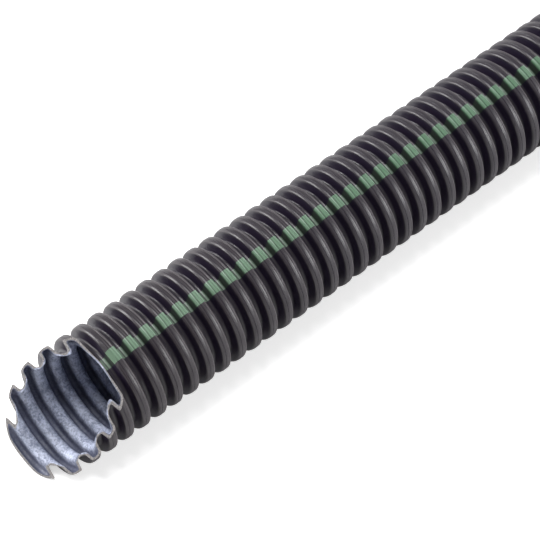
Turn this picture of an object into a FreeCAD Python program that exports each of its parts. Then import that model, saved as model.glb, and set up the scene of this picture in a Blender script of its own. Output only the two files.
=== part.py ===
import FreeCAD, Part
import os
import Sketcher
from FreeCAD import Vector

# Single-wall corrugated conduit of the 32 mm size, about one metre off the coil.
# It lies along X. The near end, at low X, is sawn off at a slant, with a tongue at the long side.
# The tongue lies almost below, a little off the bottom towards +Y.
# The far end is cut square in the middle of a groove, as such conduit is trimmed.
# The origin is on the floor under the middle of the length, with +Z up.

doc = FreeCAD.newDocument("CorrugatedConduit")

# Driving sizes, in millimetres and degrees
sizes = doc.addObject("Spreadsheet::Sheet", "Sizes")
driving = [
    ("outer_diameter", 32, "over the crests, which the conduit is sold by"),
    ("bore_diameter", 24.4, "clear width for cables, inside the grooves"),
    ("wall", 0.6, "thickness of the waved wall"),
    ("wave_pitch", 5.4, "from one crest to the next"),
    ("wave_count", 185, "whole waves in the length"),
    ("groove_land", 1.8, "width of a groove's floor"),
    ("flank_lean", 10, "lean of a crest's sides from square to the tube"),
    ("short_side", 29.4, "from the first groove's middle to the top of the slanted cut"),
    ("tongue_rise", 2.3, "from the groove's floor out to the tip of the tongue, up the first crest's side"),
    ("cut_bow", 1, "how far the slanted cut bulges from a flat one, halfway up"),
    ("rest_roll", 19, "turn about its length in which the tube lies, tongue to the far side"),
]
for row, (alias, value, note) in enumerate(driving, start=1):
    sizes.set("A%d" % row, alias)
    sizes.set("B%d" % row, "%g" % value)
    sizes.set("C%d" % row, note)
    sizes.setAlias("B%d" % row, alias)
doc.recompute()


def origin_feature(body, role):
    """The body's own origin plane or axis that plays this role."""
    return [item for item in body.Origin.OriginFeatures if item.Role == role][0]


def sketch_on(body, role, name):
    """An empty sketch on the body's own origin plane."""
    sketch = body.newObject("Sketcher::SketchObject", name)
    sketch.AttachmentSupport = (origin_feature(body, role), [""])
    sketch.MapMode = "FlatFace"
    return sketch


def draw_sides(sketch, corners, closed=True):
    """Straight sides from corner to corner, each corner held by two formulas on the sheet."""
    spots = [Vector(sketch.evalExpression(x), sketch.evalExpression(y), 0) for x, y in corners]
    ends = spots[1:] + spots[:1] if closed else spots[1:]
    for start, end in zip(spots, ends):
        sketch.addGeometry(Part.LineSegment(start, end), False)
    for side in range(1, len(ends)):
        sketch.addConstraint(Sketcher.Constraint("Coincident", side - 1, 2, side, 1))
    if closed:
        sketch.addConstraint(Sketcher.Constraint("Coincident", len(ends) - 1, 2, 0, 1))
    for index, (x, y) in enumerate(corners):
        side, end = (index, 1) if index < len(ends) else (index - 1, 2)
        along = sketch.addConstraint(Sketcher.Constraint("DistanceX", -1, 1, side, end, spots[index].x))
        sketch.setExpression("Constraints[%d]" % along, x)
        out = sketch.addConstraint(Sketcher.Constraint("DistanceY", -1, 1, side, end, spots[index].y))
        sketch.setExpression("Constraints[%d]" % out, y)
    return spots


# Levels of the waved wall, as radii, and places along one wave from the middle of its groove.
# The inner line runs one wall inside the outer line, square to it on the flanks too, so its
# corners lie further from the groove's middle by the corner shift.
crest_radius = "Sizes.outer_diameter / 2"
groove_radius = "(Sizes.bore_diameter / 2 + Sizes.wall)"
pocket_radius = "(Sizes.outer_diameter / 2 - Sizes.wall)"
bore_radius = "Sizes.bore_diameter / 2"
groove_edge = "Sizes.groove_land / 2"
flank_run = "(%s - %s) * tan(Sizes.flank_lean)" % (crest_radius, groove_radius)
crest_edge = "%s + %s" % (groove_edge, flank_run)
corner_shift = "Sizes.wall * (1 / cos(Sizes.flank_lean) - tan(Sizes.flank_lean))"
bore_edge = "%s + %s" % (groove_edge, corner_shift)
pocket_edge = "%s + %s" % (bore_edge, flank_run)

# The conduit is one piece. Its wall is drawn for one wave and turned about the tube's axis.
# It is drawn below the axis, on the tongue's side.
conduit = doc.addObject("PartDesign::Body", "Conduit")
conduit.Label = "conduit"
wave_wall = sketch_on(conduit, "XZ_Plane", "WaveWall")
wave_outline = [
    ("0", groove_radius),
    (groove_edge, groove_radius),
    (crest_edge, crest_radius),
    ("Sizes.wave_pitch - (%s)" % crest_edge, crest_radius),
    ("Sizes.wave_pitch - (%s)" % groove_edge, groove_radius),
    ("Sizes.wave_pitch", groove_radius),
    ("Sizes.wave_pitch", bore_radius),
    ("Sizes.wave_pitch - (%s)" % bore_edge, bore_radius),
    ("Sizes.wave_pitch - (%s)" % pocket_edge, pocket_radius),
    (pocket_edge, pocket_radius),
    (bore_edge, bore_radius),
    ("0", bore_radius),
]
draw_sides(wave_wall, [(along, "-" + radius) for along, radius in wave_outline])
one_wave = conduit.newObject("PartDesign::Revolution", "OneWave")
one_wave.Profile = wave_wall
one_wave.ReferenceAxis = (wave_wall, ["H_Axis"])
one_wave.Angle = 360

# The wave repeats along the tube
all_waves = conduit.newObject("PartDesign::LinearPattern", "AllWaves")
all_waves.Originals = [one_wave]
all_waves.Direction = (origin_feature(conduit, "X_Axis"), [""])
all_waves.setExpression("Occurrences", "Sizes.wave_count")
all_waves.setExpression("Length", "(Sizes.wave_count - 1) * Sizes.wave_pitch")
conduit.Tip = all_waves
doc.recompute()
square_volume = all_waves.Shape.Volume

# The near end is sawn off at a slant. The cut starts below, on the near side of the first crest,
# which leaves the tip of the tongue, and climbs over the waves to the short side on top, where it
# shaves a shoulder of the sixth crest. The blade wandered, so the cut bulges a little to the near end.
reach = "Sizes.outer_diameter"
tip_radius = "(%s + Sizes.tongue_rise)" % groove_radius
tip_at = "(%s + Sizes.tongue_rise * tan(Sizes.flank_lean))" % groove_edge
slant = sketch_on(conduit, "XZ_Plane", "Slant")
slant_spots = draw_sides(slant, [
    ("Sizes.short_side", crest_radius),
    ("Sizes.short_side", reach),
    ("-" + reach, reach),
    ("-" + reach, "-" + reach),
    (tip_at, "-" + reach),
    (tip_at, "-" + tip_radius),
], closed=False)
cut_top, cut_foot = slant_spots[0], slant_spots[-1]
cut_rise = cut_top - cut_foot
bulge = Vector(-cut_rise.y, cut_rise.x, 0).normalize() * sizes.cut_bow
middle = (cut_top + cut_foot) / 2 + bulge
last_side = len(slant_spots) - 2
bow = slant.addGeometry(Part.Arc(cut_top, middle, cut_foot), False)
slant.addConstraint(Sketcher.Constraint("Coincident", bow, 1, 0, 1))
slant.addConstraint(Sketcher.Constraint("Coincident", bow, 2, last_side, 2))

# A chord and its bulge give the arc's radius
chord_squared = "((Sizes.short_side - %s) ^ 2 + (%s + %s) ^ 2)" % (tip_at, crest_radius, tip_radius)
bow_radius = "%s / (8 * Sizes.cut_bow) + Sizes.cut_bow / 2" % chord_squared
radius_hold = slant.addConstraint(Sketcher.Constraint("Radius", bow, slant.evalExpression(bow_radius)))
slant.setExpression("Constraints[%d]" % radius_hold, bow_radius)
saw_cut = conduit.newObject("PartDesign::Pocket", "SawCut")
saw_cut.Profile = slant
saw_cut.Midplane = True
saw_cut.Type = 1
conduit.Tip = saw_cut

# The tube rests on the floor, rolled a little, with the middle of its length over the origin
rolled = FreeCAD.Rotation(Vector(1, 0, 0), sizes.rest_roll)
conduit.Placement = FreeCAD.Placement(Vector(0, 0, 0), rolled)
conduit.setExpression("Placement.Rotation.Angle", "Sizes.rest_roll")
conduit.setExpression("Placement.Base.x", "-(Sizes.wave_count * Sizes.wave_pitch + %s) / 2" % tip_at)
conduit.setExpression("Placement.Base.z", crest_radius)
doc.recompute()

for item in doc.Objects:
    if "Invalid" in item.State or "Error" in item.State:
        raise RuntimeError("%s failed: %s" % (item.Label, item.State))
shape = conduit.Shape
if shape.isNull() or not shape.isValid() or len(shape.Solids) != 1:
    raise RuntimeError("the conduit is not one valid solid")
if shape.Volume >= square_volume:
    raise RuntimeError("the slanted cut took nothing away")

os.makedirs("parts", exist_ok=True)
shape.exportStep("parts/conduit.step")
box = shape.optimalBoundingBox(False)
print("conduit %.3f x %.3f x %.3f mm" % (box.XLength, box.YLength, box.ZLength))
print("lowest corner %.3f, %.3f, %.3f" % (box.XMin, box.YMin, box.ZMin))
print("volume %.1f mm3, %d faces" % (shape.Volume, len(shape.Faces)))
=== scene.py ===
from math import cos, pi, radians, sin, tan

import bmesh
import bpy
import numpy as np
from mathutils import Matrix, Vector


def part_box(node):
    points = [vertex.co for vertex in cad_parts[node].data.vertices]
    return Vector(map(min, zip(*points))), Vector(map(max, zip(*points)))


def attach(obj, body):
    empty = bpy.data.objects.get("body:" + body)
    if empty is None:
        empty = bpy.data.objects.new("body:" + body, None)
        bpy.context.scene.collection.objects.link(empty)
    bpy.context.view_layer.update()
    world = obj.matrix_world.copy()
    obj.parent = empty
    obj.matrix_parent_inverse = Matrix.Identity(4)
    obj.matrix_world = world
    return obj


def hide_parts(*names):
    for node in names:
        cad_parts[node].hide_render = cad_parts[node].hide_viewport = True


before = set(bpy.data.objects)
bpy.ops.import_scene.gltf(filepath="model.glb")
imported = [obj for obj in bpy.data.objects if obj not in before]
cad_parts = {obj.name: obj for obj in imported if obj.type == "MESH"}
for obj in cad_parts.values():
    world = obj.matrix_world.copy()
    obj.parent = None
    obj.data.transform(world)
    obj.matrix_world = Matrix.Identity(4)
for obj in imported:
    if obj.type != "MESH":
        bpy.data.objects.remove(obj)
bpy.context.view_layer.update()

# Pliable corrugated conduit of the 32 mm size, about one metre long, lying along X. It has a black waved wall
# with a green marking stripe run into it, a blue-grey slip layer inside, and a slanted saw cut at the near
# end. Everything is in metres. An angle round the tube is measured from straight up towards -Y.

mm = 0.001
wholeTurn = radians(360)

tube = {
    "pitch": 5.4 * mm,
    "waveCount": 185,
    "crestRadius": 16 * mm,
    "floorRadius": 12.8 * mm,
    "wallThickness": 0.6 * mm,
    "slipThickness": 0.1 * mm,
    "floorHalf": 0.9 * mm,  # half the width of a groove's floor
    "flankLean": radians(10),
    "restRoll": radians(19),  # the angle of the cut's short side
}

# The slanted cut runs from the tip of the tongue, on the first crest's near side, up to the short side.
# It bulges a little to the near end.
slantCut = {"tongueRise": 2.3 * mm, "shortSide": 29.4 * mm, "bow": 1.0 * mm, "tolerance": 1e-8}
tipRadius = tube["floorRadius"] + slantCut["tongueRise"]
tipPlace = tube["floorHalf"] + slantCut["tongueRise"] * tan(tube["flankLean"])
cutHeight = tube["crestRadius"] + tipRadius
slantAngle = np.arctan((slantCut["shortSide"] - tipPlace) / cutHeight)

lowCorner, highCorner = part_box("conduit")
tubeStart = highCorner.x - tube["waveCount"] * tube["pitch"]
axisHeight = (lowCorner.z + highCorner.z) / 2
axisSpot = Vector((0, 0, axisHeight))


# The way out from the axis at an angle: (0, -sin, cos)
def outwardAt(angle):
    return Vector((0, -sin(angle), cos(angle)))


# The way round the tube at an angle: (0, -cos, -sin)
def aroundAt(angle):
    return Vector((0, -cos(angle), -sin(angle)))


shortSideWay = outwardAt(tube["restRoll"])


# A corner turned into a parabola. It leaves the line to the corner at the given reach and joins the next line
# at the same reach. With s from 0 to 1 it is (1-s)^2 start + 2s(1-s) corner + s^2 end.
def roundedCorner(before, corner, after, reach, steps):
    if steps == 1:
        return corner[None, :]
    start = corner + (before - corner) / np.linalg.norm(before - corner) * reach
    end = corner + (after - corner) / np.linalg.norm(after - corner) * reach
    s = np.linspace(0, 1, steps)[:, None]
    return (1 - s) ** 2 * start + 2 * s * (1 - s) * corner + s**2 * end


# One line of the waved wall, as places along the tube and radii, from the middle of one groove to that of
# another. It runs at the given depth inside the outer side and square to it, so the corners of its floors lie
# further from the groove's middle by depth * (1/cos lean - tan lean), and each shoulder lies tan lean times
# its rise further on. One wave is worked out and set down again at each pitch.
def waveLine(firstWave, lastWave, depth, look):
    pitch, lean = tube["pitch"], tube["flankLean"]
    floorEdge = tube["floorHalf"] + depth * (1 / cos(lean) - tan(lean))
    floorLevel, crestLevel = tube["floorRadius"] - depth, tube["crestRadius"] - depth
    nearLevel, farLevel = [crestLevel - drop for drop in look["shoulderDrops"]]
    nearEdge, farEdge = [floorEdge + (level - floorLevel) * tan(lean) for level in (nearLevel, farLevel)]
    nearRound, farRound = look["shoulderRounds"]
    # Each corner's place and radius, how far its rounding reaches and in how many points
    corners = [
        (floorEdge, floorLevel, look["floorRound"], look["floorSteps"]),
        (nearEdge, nearLevel, nearRound, look["shoulderSteps"]),
        *[(place * pitch, crestLevel - drop, 0, 1) for place, drop in look["relief"]],
        (pitch - farEdge, farLevel, farRound, look["shoulderSteps"]),
        (pitch - floorEdge, floorLevel, look["floorRound"], look["floorSteps"]),
    ]
    path = np.array([(0, floorLevel), *[corner[:2] for corner in corners], (pitch, floorLevel)])
    wave = np.concatenate([
        roundedCorner(*path[index : index + 3], *corner[2:]) for index, corner in enumerate(corners)
    ])
    places = np.arange(firstWave, lastWave)[:, None] * pitch
    line = np.stack([places + wave[:, 0], 0 * places + wave[:, 1]], -1).reshape(-1, 2)
    ends = [(firstWave * pitch, floorLevel), (lastWave * pitch, floorLevel)]
    return np.concatenate([ends[:1], line, ends[1:]])


# A closed shell: the loop of an outer and an inner line turned about the tube's axis between two angles, so a
# point sits at y = -r sin a, z = axis + r cos a. A part turn is closed by the loop itself at each side.
def turnedShell(name, outerLine, innerLine, fromAngle, toAngle, segments):
    loop = np.concatenate([outerLine, innerLine[::-1]])
    goesRound = np.isclose(toAngle - fromAngle, wholeTurn)
    angles = np.linspace(fromAngle, toAngle, segments + 1)[:, None]
    if goesRound:
        angles = angles[:-1]
    along = tubeStart + loop[:, 0] + 0 * angles
    spots = np.stack([along, -loop[:, 1] * np.sin(angles), axisHeight + loop[:, 1] * np.cos(angles)], -1)
    grid = np.arange(along.size).reshape(along.shape)
    here = grid if goesRound else grid[:-1]
    there = np.roll(grid, -1, 0) if goesRound else grid[1:]
    corners = [here, there, np.roll(there, -1, 1), np.roll(here, -1, 1)]
    faces = np.stack(corners, -1).reshape(-1, 4).tolist()
    if not goesRound:
        faces += [grid[0].tolist(), grid[-1, ::-1].tolist()]
    mesh = bpy.data.meshes.new(name)
    mesh.from_pydata(spots.reshape(-1, 3), [], faces)
    mesh.shade_smooth()
    mesh.set_sharp_from_angle(angle=radians(50))
    return mesh


# How far the cut bulges to the near end, from heights over the axis towards the short side. It is zero at
# both ends of the cut and the bow square to it in the middle: 4 bow c (1-c) / cos slant, with c from 0 to 1
# up the cut.
def cutBulge(heights):
    climb = (heights + tipRadius) / cutHeight
    return 4 * slantCut["bow"] * climb * (1 - climb) / cos(slantAngle)


# Moves all of a mesh's vertices along the tube by the bulge at their height, on with way 1 and back with -1
def shiftByBulge(mesh, way):
    flat = np.empty(len(mesh.vertices) * 3)
    mesh.vertices.foreach_get("co", flat)
    spots = flat.reshape(-1, 3)
    heights = (spots - np.array(axisSpot)) @ np.array(shortSideWay)
    spots[:, 0] += way * cutBulge(heights)
    mesh.vertices.foreach_set("co", spots.ravel())
    mesh.update()


# Saws a mesh along the slanted plane, keeps the far or the near side, and closes the cut. The plane is
# x = foot + height * tan slant, moved into the tube by the given depth. The mesh is shifted by the bulge
# while it is sawn, which bows the plane.
def sawMesh(mesh, depth, keepFar):
    shiftByBulge(mesh, 1)
    inward = Vector((cos(slantAngle), 0, 0)) - shortSideWay * sin(slantAngle)
    foot = tubeStart + tipPlace + tipRadius * tan(slantAngle)
    work = bmesh.new()
    work.from_mesh(mesh)
    cut = bmesh.ops.bisect_plane(
        work,
        geom=work.verts[:] + work.edges[:] + work.faces[:],
        dist=slantCut["tolerance"],
        plane_co=Vector((foot, 0, axisHeight)) + inward * depth,
        plane_no=inward,
        clear_inner=keepFar,
        clear_outer=not keepFar,
    )
    rim = [part for part in cut["geom_cut"] if isinstance(part, bmesh.types.BMEdge)]
    for edge in rim:
        edge.smooth = False
    outward = -inward if keepFar else inward
    filled = bmesh.ops.triangle_fill(work, edges=rim, use_beauty=True, normal=outward)["geom"]
    for face in filled:
        if isinstance(face, bmesh.types.BMFace):
            face.smooth = False
            face.normal_update()
            if face.normal.dot(outward) < 0:
                face.normal_flip()
    work.to_mesh(mesh)
    work.free()
    shiftByBulge(mesh, -1)


def placePiece(mesh, material):
    piece = bpy.data.objects.new(mesh.name, mesh)
    bpy.context.scene.collection.objects.link(piece)
    mesh.materials.append(material)
    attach(piece, "root")
    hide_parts("conduit")


# Helpers for the materials. A blend is a pair of values between which something fades in or out.
def startMaterial(name):
    material = bpy.data.materials.new(name)
    material.use_nodes = True
    tree = material.node_tree
    return material, tree, tree.nodes["Principled BSDF"]


def addNode(tree, kind, **values):
    node = tree.nodes.new(kind)
    for socketName, value in values.items():
        node.inputs[socketName].default_value = value
    return node


def calculate(tree, operation, *values):
    node = tree.nodes.new("ShaderNodeMath")
    node.operation = operation
    for socket, value in zip(node.inputs, values):
        if isinstance(value, (int, float)):
            socket.default_value = value
        else:
            tree.links.new(value, socket)
    return node.outputs["Value"]


def vectorNode(tree, operation, vector, constant=(0, 0, 0)):
    node = tree.nodes.new("ShaderNodeVectorMath")
    node.operation = operation
    tree.links.new(vector, node.inputs[0])
    node.inputs[1].default_value = constant
    return node


# A value carried softly from one range to another
def mapRange(tree, value, fromRange, toRange=(0, 1)):
    node = tree.nodes.new("ShaderNodeMapRange")
    node.interpolation_type = "SMOOTHSTEP"
    tree.links.new(value, node.inputs["Value"])
    for socketName, number in zip(("From Min", "From Max", "To Min", "To Max"), (*fromRange, *toRange)):
        node.inputs[socketName].default_value = number
    return node.outputs["Result"]


# One at a centre, falling softly to zero over the given distances from it
def bandAt(tree, value, centre, blend):
    off = calculate(tree, "ABSOLUTE", calculate(tree, "SUBTRACT", value, centre))
    return mapRange(tree, off, blend, (1, 0))


def mixColour(tree, factor, first, second):
    node = tree.nodes.new("ShaderNodeMix")
    node.data_type = "RGBA"
    tree.links.new(factor, node.inputs["Factor"])
    for socket, value in ((node.inputs["A"], first), (node.inputs["B"], second)):
        if isinstance(value, tuple):
            socket.default_value = (*value, 1)
        else:
            tree.links.new(value, socket)
    return node.outputs["Result"]


# Object coordinates, but with heights from the tube's axis
def tubeCoordinates(tree):
    spot = tree.nodes.new("ShaderNodeTexCoord").outputs["Object"]
    return vectorNode(tree, "SUBTRACT", spot, axisSpot).outputs["Vector"]


# How far a spot lies along a way: their dot product
def distanceAlong(tree, spot, way):
    return vectorNode(tree, "DOT_PRODUCT", spot, way).outputs["Value"]


# Distance from the tube's axis: the length of (0, y, z)
def radiusFrom(tree, spot):
    flat = vectorNode(tree, "MULTIPLY", spot, (0, 1, 1)).outputs["Vector"]
    return vectorNode(tree, "LENGTH", flat).outputs["Value"]


# Place along the tube in waves, which is whole in the middle of each groove
def wavesAlong(tree, spot):
    fromStart = calculate(tree, "SUBTRACT", distanceAlong(tree, spot, (1, 0, 0)), tubeStart)
    return calculate(tree, "DIVIDE", fromStart, tube["pitch"])


def noiseAt(tree, spot, size, detail, roughness=0.55):
    noise = addNode(tree, "ShaderNodeTexNoise", Scale=1 / size, Detail=detail, Roughness=roughness)
    tree.links.new(spot, noise.inputs["Vector"])
    return noise.outputs["Fac"]


def addBump(tree, shader, height, distance, strength):
    bump = addNode(tree, "ShaderNodeBump", Strength=strength, Distance=distance)
    tree.links.new(height, bump.inputs["Height"])
    tree.links.new(bump.outputs["Normal"], shader.inputs["Normal"])


# The black wall and the green stripe share one finish. These are the colours and strengths that differ.
wallColours = {
    "flankShade": (0.012, 0.008, 0.020),
    "floor": (0.030, 0.025, 0.032),
    "crest": (0.027, 0.022, 0.027),
    "farCrest": (0.025, 0.021, 0.028),
    "scuffAndSheen": (0.21, 0.19, 0.20),
    "lineWearAndSheen": 0.12,
    "nearBeadWearAndSheen": 0.02,
    "farBeadWearAndSheen": 0.24,
    "roughness": 0.34,
}
stripeColours = {
    "flankShade": (0.024, 0.032, 0.026),
    "floor": (0.14, 0.2, 0.15),
    "crest": (0.105, 0.18, 0.115),
    "farCrest": (0.07, 0.15, 0.085),
    "scuffAndSheen": (0.31, 0.42, 0.34),
    "lineWearAndSheen": 0.4,
    "nearBeadWearAndSheen": 0.05,
    "farBeadWearAndSheen": 0.12,
    "roughness": 0.36,
}
# What both have. Places and widths along the tube are in waves, from the middle of each groove.
ribs = {
    "floorRadii": (12.85 * mm, 13.15 * mm),  # blends that part the floors, the flanks and the crests
    "crestRadii": (14.9 * mm, 15.7 * mm),
    "sheenFadeWaves": (6, 26),  # the near crests' paler painted sheen fades to the far crests' colour over these
    "patches": 7 * mm,
    "patchBlend": (0.35, 0.65),
    "patchRange": (0.35, 1.0),
    "specks": 0.7 * mm,
    "speckRange": (0.85, 1.05),
    "fineLines": 13,  # to a wave, round the tube
    "lineWander": 5.0,
    "beads": (("nearBeadWearAndSheen", 0.34, (0.02, 0.07)), ("farBeadWearAndSheen", 0.668, (0.03, 0.07))),  # worn pale, partly painted highlight
    "grooves": ((0.436, 0.5), (0.619, 0.2)),  # the two fine grooves of a crest, with how much painted shade darkens them
    "grooveShadeBlend": (0.012, 0.03),
    "floorLine": (0.45, 0.475),  # so far off a crest's middle, the darker line on a groove's floor starts
    "floorLineRange": (1.0, 0.3),
    "roughRange": (-0.02, 0.03),
    "shine": 0.45,
    "lineBump": 0.8,
    "speckBump": 0.12,
    "bump": 0.03 * mm,
    "bumpStrength": 0.5,
}
# The mould's parting line: a shallow nick, darkened with painted shade
seam = {"angle": tube["restRoll"] + radians(33.5), "blend": (0.05 * mm, 0.2 * mm), "depth": 0.35}


# The wall's finish: painted shade darkens the flanks in the grooves, the fine grooves of the crests and the
# parting line of the mould on both sides. The beads of the crests and the fine lines round the tube are
# scuffed paler, partly as wear and partly as painted highlight, and the near crests carry a paler painted
# sheen.
def wallFinish(name, colours):
    material, tree, shader = startMaterial(name)
    spot = tubeCoordinates(tree)
    radius = radiusFrom(tree, spot)
    waves = wavesAlong(tree, spot)
    phase = calculate(tree, "FRACT", waves)
    onCrest = mapRange(tree, radius, ribs["crestRadii"])
    onFloor = mapRange(tree, radius, ribs["floorRadii"], (1, 0))
    patch = noiseAt(tree, spot, ribs["patches"], 2)
    speck = noiseAt(tree, spot, ribs["specks"], 4)

    turns = calculate(tree, "MULTIPLY", waves, 2 * pi * ribs["fineLines"])
    wander = calculate(tree, "MULTIPLY", patch, ribs["lineWander"])
    lines = calculate(tree, "SINE", calculate(tree, "ADD", turns, wander))
    lines = calculate(tree, "MULTIPLY_ADD", lines, 0.5, 0.5)
    patchShare = mapRange(tree, patch, ribs["patchBlend"], ribs["patchRange"])
    lines = calculate(tree, "MULTIPLY", lines, patchShare)

    # The fine lines and the beads are scuffed paler: partly wear, partly painted highlight
    wearAndSheen = calculate(tree, "MULTIPLY", lines, colours["lineWearAndSheen"])
    for bead, place, blend in ribs["beads"]:
        beadWearAndSheen = calculate(tree, "MULTIPLY", bandAt(tree, phase, place, blend), colours[bead])
        wearAndSheen = calculate(tree, "ADD", wearAndSheen, beadWearAndSheen)
    wearAndSheen = calculate(tree, "MULTIPLY", wearAndSheen, mapRange(tree, speck, (0.3, 0.65), ribs["speckRange"]))
    # The near crests are painted paler than the far ones: painted sheen
    base = mixColour(tree, mapRange(tree, waves, ribs["sheenFadeWaves"]), colours["crest"], colours["farCrest"])
    crest = mixColour(tree, wearAndSheen, base, colours["scuffAndSheen"])
    # Painted shade darkens the two fine grooves of each crest
    for place, depth in ribs["grooves"]:
        dark = calculate(tree, "MULTIPLY", bandAt(tree, phase, place, ribs["grooveShadeBlend"]), depth)
        crest = mixColour(tree, dark, crest, colours["flankShade"])

    # The flanks take the painted shade colour; the floor keeps its own colour, with a darker line along its
    # middle
    fromMiddle = calculate(tree, "ABSOLUTE", calculate(tree, "SUBTRACT", phase, 0.5))
    floorShare = mapRange(tree, fromMiddle, ribs["floorLine"], ribs["floorLineRange"])
    floorShare = calculate(tree, "MULTIPLY", onFloor, floorShare)
    groove = mixColour(tree, floorShare, colours["flankShade"], colours["floor"])
    colour = mixColour(tree, onCrest, groove, crest)

    # Painted shade darkens the nick along the mould's parting line
    offSeam = calculate(tree, "ABSOLUTE", distanceAlong(tree, spot, aroundAt(seam["angle"])))
    onSeam = calculate(tree, "MULTIPLY", mapRange(tree, offSeam, seam["blend"], (1, 0)), onCrest)
    seamShade = calculate(tree, "MULTIPLY", onSeam, seam["depth"])
    colour = mixColour(tree, seamShade, colour, colours["flankShade"])
    tree.links.new(colour, shader.inputs["Base Color"])

    rough = mapRange(tree, speck, (0.3, 0.7), ribs["roughRange"])
    tree.links.new(calculate(tree, "ADD", rough, colours["roughness"]), shader.inputs["Roughness"])
    shader.inputs["Specular IOR Level"].default_value = ribs["shine"]

    height = calculate(tree, "MULTIPLY", lines, ribs["lineBump"])
    height = calculate(tree, "ADD", height, calculate(tree, "MULTIPLY", speck, ribs["speckBump"]))
    height = calculate(tree, "SUBTRACT", height, onSeam)
    addBump(tree, shader, height, ribs["bump"], ribs["bumpStrength"])
    return material


slipLayer = {
    "dark": (0.175, 0.197, 0.28),
    "pale": (0.54, 0.58, 0.72),
    "mottleBlend": (0.37, 0.63),
    "grain": 0.6 * mm,
    "grainShare": 0.6,  # the rest of the mottling is blotches
    "blotches": 3 * mm,
    "pocketShade": (0.045, 0.05, 0.09),  # painted shade in the hollow backs of the crests
    "pocketShadeBlend": (12.4 * mm, 14.8 * mm),
    "pocketShadeDepth": 0.88,
    "roughRange": (0.6, 0.42),
    "shine": 0.55,
    "bump": 0.16 * mm,
    "bumpStrength": 0.75,
}


# The lining's finish: mottled blue-grey, with painted shade in the pockets behind the crests
def slipFinish():
    material, tree, shader = startMaterial("slip layer")
    spot = tubeCoordinates(tree)
    grain = noiseAt(tree, spot, slipLayer["grain"], 4, 0.65)
    blotch = noiseAt(tree, spot, slipLayer["blotches"], 3)
    fineShare = calculate(tree, "MULTIPLY", grain, slipLayer["grainShare"])
    broadShare = calculate(tree, "MULTIPLY", blotch, 1 - slipLayer["grainShare"])
    mottle = mapRange(tree, calculate(tree, "ADD", fineShare, broadShare), slipLayer["mottleBlend"])
    colour = mixColour(tree, mottle, slipLayer["dark"], slipLayer["pale"])
    # Painted shade in the pockets behind the crests
    pocketShadeShare = mapRange(tree, radiusFrom(tree, spot), slipLayer["pocketShadeBlend"], (0, slipLayer["pocketShadeDepth"]))
    colour = mixColour(tree, pocketShadeShare, colour, slipLayer["pocketShade"])
    tree.links.new(colour, shader.inputs["Base Color"])
    tree.links.new(mapRange(tree, grain, (0.3, 0.7), slipLayer["roughRange"]), shader.inputs["Roughness"])
    shader.inputs["Specular IOR Level"].default_value = slipLayer["shine"]
    addBump(tree, shader, grain, slipLayer["bump"], slipLayer["bumpStrength"])
    return material


# The thin scraped slice of the wall at the saw cut
cutEdge = {
    "thickness": 0.09 * mm,
    "waves": (0, 8),
    "segments": 144,
    "dark": (0.13, 0.122, 0.122),
    "pale": (0.34, 0.322, 0.318),
    "grain": 0.4 * mm,
    "grazedHeight": (14.6 * mm, 14.9 * mm),  # blend over the axis, towards the short side
    "stripeLowSide": (-1.3 * mm, -1.2 * mm),  # blends at the stripe's sides, round from the short side
    "stripeHighSide": (2.7 * mm, 2.8 * mm),
    "roughness": 0.65,
    "bump": 0.1 * mm,
    "bumpStrength": 0.7,
}


# The cut's finish: grainy grey. Where the cut only grazes a crest at the short side, it leaves no scraped
# face but the wall's and the stripe's own colour.
def cutFinish():
    material, tree, shader = startMaterial("sawn edge")
    spot = tubeCoordinates(tree)
    grain = noiseAt(tree, spot, cutEdge["grain"], 4, 0.7)
    scraped = mixColour(tree, mapRange(tree, grain, (0.35, 0.65)), cutEdge["dark"], cutEdge["pale"])
    aside = distanceAlong(tree, spot, aroundAt(tube["restRoll"]))
    lowSide = mapRange(tree, aside, cutEdge["stripeLowSide"])
    highSide = mapRange(tree, aside, cutEdge["stripeHighSide"], (1, 0))
    onStripe = calculate(tree, "MULTIPLY", lowSide, highSide)
    grazed = mixColour(tree, onStripe, wallColours["crest"], stripeColours["crest"])
    onTop = mapRange(tree, distanceAlong(tree, spot, shortSideWay), cutEdge["grazedHeight"])
    tree.links.new(mixColour(tree, onTop, scraped, grazed), shader.inputs["Base Color"])
    shader.inputs["Roughness"].default_value = cutEdge["roughness"]
    addBump(tree, shader, grain, cutEdge["bump"], cutEdge["bumpStrength"])
    return material


wallMaterial = wallFinish("ribbed wall", wallColours)
stripeMaterial = wallFinish("marking stripe", stripeColours)
slipMaterial = slipFinish()
cutMaterial = cutFinish()
print("finishes made")

# How each line of the wall is drawn: how far the roundings reach at the groove's floor and at the near and
# far shoulder of the crest, how far the shoulders lie below its full height, and the relief between them, as
# places in waves with drops. The steps are the points of each rounding.
outerLook = {
    "floorRound": 0.7 * mm,
    "shoulderRounds": (0.6 * mm, 0.35 * mm),
    "shoulderDrops": (0.15 * mm, 0.11 * mm),
    # A broad bead, a fine groove, the middle band, a finer groove and a narrow bead
    "relief": (
        (0.420, 0.03 * mm),
        (0.435, 0.11 * mm),
        (0.450, 0.0),
        (0.520, 0.0),
        (0.602, 0.02 * mm),
        (0.618, 0.08 * mm),
        (0.634, 0.02 * mm),
        (0.665, 0.015 * mm),
    ),
    "floorSteps": 4,
    "shoulderSteps": 4,
}
slipLook = {
    "floorRound": 1.1 * mm,
    "shoulderRounds": (0.55 * mm, 0.55 * mm),
    "shoulderDrops": (0, 0),
    "relief": (),
    "floorSteps": 2,
    "shoulderSteps": 3,
}
boreLook = {
    "floorRound": 1.35 * mm,
    "shoulderRounds": (0.7 * mm, 0.7 * mm),
    "shoulderDrops": (0, 0),
    "relief": (),
    "floorSteps": 6,
    "shoulderSteps": 4,
}
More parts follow.
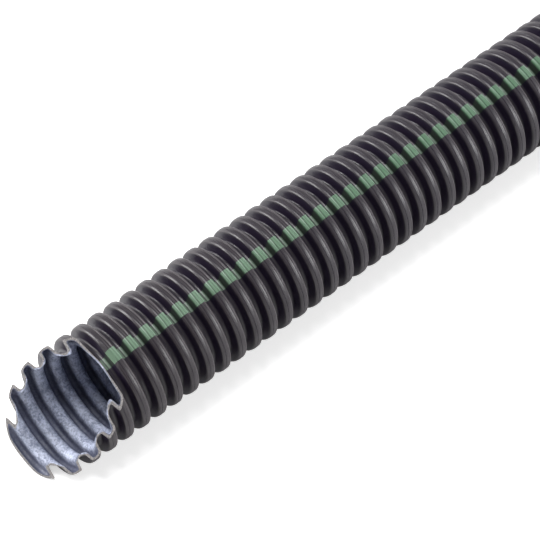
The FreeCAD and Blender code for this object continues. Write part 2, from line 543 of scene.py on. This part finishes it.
# The same three lines with fewer points, for what is seen from further off
plainRelief = ((0.42, 0.03 * mm), (0.45, 0.0), (0.61, 0.05 * mm), (0.665, 0.0))
plainOuterLook = {**outerLook, "relief": plainRelief, "floorSteps": 3, "shoulderSteps": 3}
plainSlipLook = {**slipLook, "shoulderSteps": 1}
plainBoreLook = {**boreLook, "floorSteps": 4, "shoulderSteps": 3}

# Three lengths of the same tube, which meet in a groove. The near one is finer, as it is seen close.
nearLength = {
    "looks": (outerLook, slipLook, boreLook),
    "wallSegments": 68,
    "stripeSegments": 3,
    "slipSegments": 76,
}
plainLength = {
    "looks": (plainOuterLook, plainSlipLook, plainBoreLook),
    "wallSegments": 46,
    "stripeSegments": 2,
    "slipSegments": 44,
}
lengths = {
    "Near": {"waves": (0, 36), **nearLength},
    "Middle": {"waves": (36, 110), **plainLength},
    "Far": {"waves": (110, tube["waveCount"]), **plainLength},
}
markingStripe = {"fromAngle": tube["restRoll"] - radians(4.4), "toAngle": tube["restRoll"] + radians(10.0)}
stripeSides = (markingStripe["fromAngle"], markingStripe["toAngle"])
wallSides = (markingStripe["toAngle"], markingStripe["fromAngle"] + wholeTurn)

slipDepth = tube["wallThickness"] - tube["slipThickness"]
lineDepths = (0, slipDepth, tube["wallThickness"])
for lengthName, length in lengths.items():
    firstWave, lastWave = length["waves"]
    outerLine, slipLine, boreLine = [
        waveLine(firstWave, lastWave, depth, look) for depth, look in zip(lineDepths, length["looks"])
    ]
    wallName, stripeName, slipName = [kind + lengthName for kind in ("wall", "markingStripe", "slipLayer")]
    wallMesh = turnedShell(wallName, outerLine, slipLine, *wallSides, length["wallSegments"])
    stripeMesh = turnedShell(stripeName, outerLine, slipLine, *stripeSides, length["stripeSegments"])
    slipMesh = turnedShell(slipName, slipLine, boreLine, 0, wholeTurn, length["slipSegments"])
    if firstWave == 0:
        sawMesh(wallMesh, cutEdge["thickness"], True)
        sawMesh(stripeMesh, cutEdge["thickness"], True)
        sawMesh(slipMesh, 0, True)
    placePiece(wallMesh, wallMaterial)
    placePiece(stripeMesh, stripeMaterial)
    placePiece(slipMesh, slipMaterial)
    faceCounts = [len(mesh.polygons) for mesh in (wallMesh, stripeMesh, slipMesh)]
    print(lengthName, "length made:", faceCounts, "faces")

# The scraped face of the saw cut lies between the slanted plane and one just behind it. It ends at the slip
# layer, which shows its own colour in the cut.
firstWave, lastWave = cutEdge["waves"]
cutMesh = turnedShell(
    "cutEdge",
    waveLine(firstWave, lastWave, 0, outerLook),
    waveLine(firstWave, lastWave, slipDepth, slipLook),
    0,
    wholeTurn,
    cutEdge["segments"],
)
sawMesh(cutMesh, 0, True)
sawMesh(cutMesh, cutEdge["thickness"], False)
placePiece(cutMesh, cutMaterial)
print("saw cut made:", len(cutMesh.polygons), "faces")

# A pale floor, which shines a little for the camera alone so that it shows white, and keeps the tube's shadow
floor = {"side": 8.0, "tone": (0.8, 0.8, 0.8), "lift": 0.56, "roughness": 0.9}
half = floor["side"] / 2
floorSpots = [(-half, -half, 0), (half, -half, 0), (half, half, 0), (-half, half, 0)]
floorMesh = bpy.data.meshes.new("floor")
floorMesh.from_pydata(floorSpots, [], [(0, 1, 2, 3)])
floorPiece = bpy.data.objects.new("floor", floorMesh)
bpy.context.scene.collection.objects.link(floorPiece)
floorMaterial, floorTree, floorShader = startMaterial("studio floor")
floorShader.inputs["Base Color"].default_value = (*floor["tone"], 1)
floorShader.inputs["Roughness"].default_value = floor["roughness"]
floorShader.inputs["Emission Color"].default_value = (1, 1, 1, 1)
floorRays = floorTree.nodes.new("ShaderNodeLightPath").outputs
floorLift = calculate(floorTree, "MULTIPLY", floorRays["Is Camera Ray"], floor["lift"])
floorTree.links.new(floorLift, floorShader.inputs["Emission Strength"])
floorMesh.materials.append(floorMaterial)

# The room is pale but for its near side, towards -X, and white where the camera sees it past the floor
studio = {"strength": 0.36, "nearStrength": 0.06, "nearBlend": (-0.1, 0.75)}
white = (1, 1, 1, 1)
world = bpy.data.worlds.new("studio")
bpy.context.scene.world = world
world.use_nodes = True
worldTree = world.node_tree
room = worldTree.nodes["Background"]
room.inputs["Color"].default_value = white
facing = worldTree.nodes.new("ShaderNodeTexCoord").outputs["Generated"]
nearness = distanceAlong(worldTree, facing, (-1, 0, 0))
roomLight = mapRange(worldTree, nearness, studio["nearBlend"], (studio["strength"], studio["nearStrength"]))
worldTree.links.new(roomLight, room.inputs["Strength"])
backdrop = addNode(worldTree, "ShaderNodeBackground", Color=white, Strength=1.0)
worldRays = worldTree.nodes.new("ShaderNodeLightPath").outputs
mixed = worldTree.nodes.new("ShaderNodeMixShader")
worldTree.links.new(worldRays["Is Camera Ray"], mixed.inputs["Fac"])
worldTree.links.new(room.outputs[0], mixed.inputs[1])
worldTree.links.new(backdrop.outputs[0], mixed.inputs[2])
worldTree.links.new(mixed.outputs[0], worldTree.nodes["World Output"].inputs["Surface"])

# The lights and the camera are placed for a tube with its short side straight up, and roll with it
roll = Matrix.Rotation(tube["restRoll"], 3, "X")

# Soft lights that face a spot near the slanted end, each with its width level and its height across it
lightDistance = 2.0
lightSpot = Vector((tubeStart + 50 * mm, 0, axisHeight))
lights = {
    "sideLight": {"direction": (0.66, -0.632, 0.372), "width": 1.1, "height": 1.6, "power": 46},
    "overheadLight": {"direction": (-0.07, 0.424, 0.857), "width": 0.7, "height": 0.8, "power": 27},
    "endLight": {"direction": (-0.5, 0.86, 0.12), "width": 1.0, "height": 1.0, "power": 46},
}
for lightName, light in lights.items():
    lamp = bpy.data.lights.new(lightName, "AREA")
    lamp.shape = "RECTANGLE"
    lamp.size = light["width"]
    lamp.size_y = light["height"]
    lamp.energy = light["power"]
    way = (roll @ Vector(light["direction"])).normalized()
    lampObject = bpy.data.objects.new(lightName, lamp)
    lampObject.location = lightSpot + way * lightDistance
    lampObject.rotation_mode = "QUATERNION"
    lampObject.rotation_quaternion = way.to_track_quat("Z", "Y")
    bpy.context.scene.collection.objects.link(lampObject)

# The camera looks down on the near end from in front, and leans so that the tube crosses the picture
camera = {
    "place": Vector((-0.616510, -0.156845, 0.494397)),  # from the middle of the tube's axis
    "forward": Vector((0.360192, 0.280521, -0.889702)),
    "up": Vector((0.530736, 0.722706, 0.442735)),
    "lens": 135.906,
    "sensor": 36.0,
}
cameraData = bpy.data.cameras.new("camera")
cameraData.lens = camera["lens"]
cameraData.sensor_width = camera["sensor"]
cameraObject = bpy.data.objects.new("camera", cameraData)
forward = roll @ camera["forward"].normalized()
upright = roll @ camera["up"].normalized()
turn = Matrix((forward.cross(upright), upright, -forward)).transposed()
cameraObject.matrix_world = Matrix.Translation(axisSpot + roll @ camera["place"]) @ turn.to_4x4()
bpy.context.scene.collection.objects.link(cameraObject)
bpy.context.scene.camera = cameraObject
bpy.context.scene.view_settings.view_transform = "Standard"
print("floor, lights and camera made")
